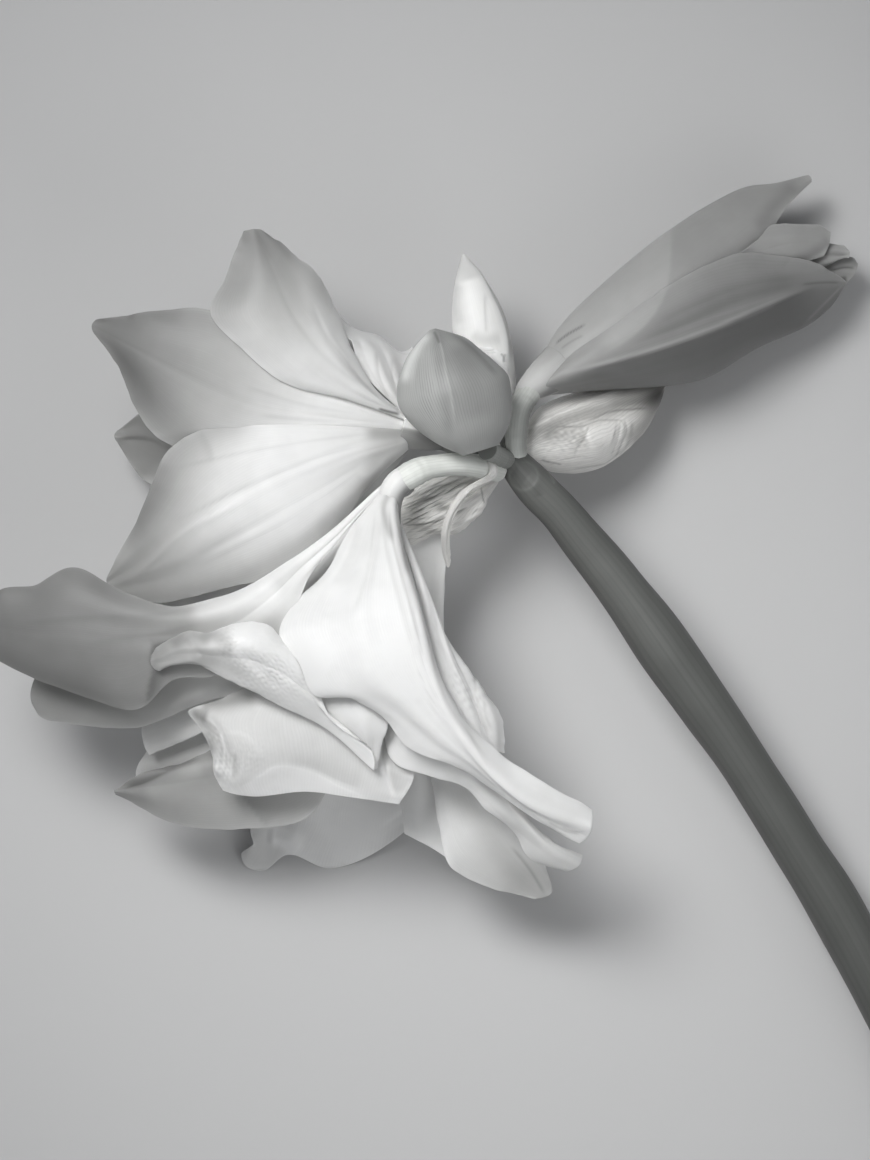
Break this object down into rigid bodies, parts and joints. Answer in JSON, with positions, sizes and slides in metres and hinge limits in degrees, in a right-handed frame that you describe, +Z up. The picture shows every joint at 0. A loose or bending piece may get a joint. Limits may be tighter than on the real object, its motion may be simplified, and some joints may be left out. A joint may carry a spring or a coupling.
{
  "type": "amaryllis stem",
  "caption": "Cut amaryllis lying on its side: a thick leafless scape with a nodding double bloom, an open bloom, an opening bloom, closed buds and papery spathes.",
  "frame": {"origin": "middle of the underside of the bounding box, on the table that the stem lies on", "axes": "+Z up from the table, +Y from the scape's cut end towards the flowers, +X towards the opening bloom"},
  "size_m": [0.4086, 0.4058, 0.1164],
  "materials": {
    "scape": "smooth waxy skin",
    "pedicel": "smooth waxy skin",
    "petal": "thin, veined and translucent",
    "bud": "satin with strong veins along it",
    "spathe": "dry, papery and wrinkled"
  },
  "bodies": {
    "root": {"scape": "scape", "pedicel_open": "pedicel", "pedicel_hanging": "pedicel", "pedicel_opening": "pedicel", "pedicel_round": "pedicel", "pedicel_pointed": "pedicel", "bloom_open": "petal", "bloom_hanging": "petal", "bloom_opening": "petal", "bud_round": "bud", "bud_pointed": "petal", "spathe_broad": "spathe", "spathe_withered": "spathe", "bracteole": "spathe"}
  },
  "joints": []
}
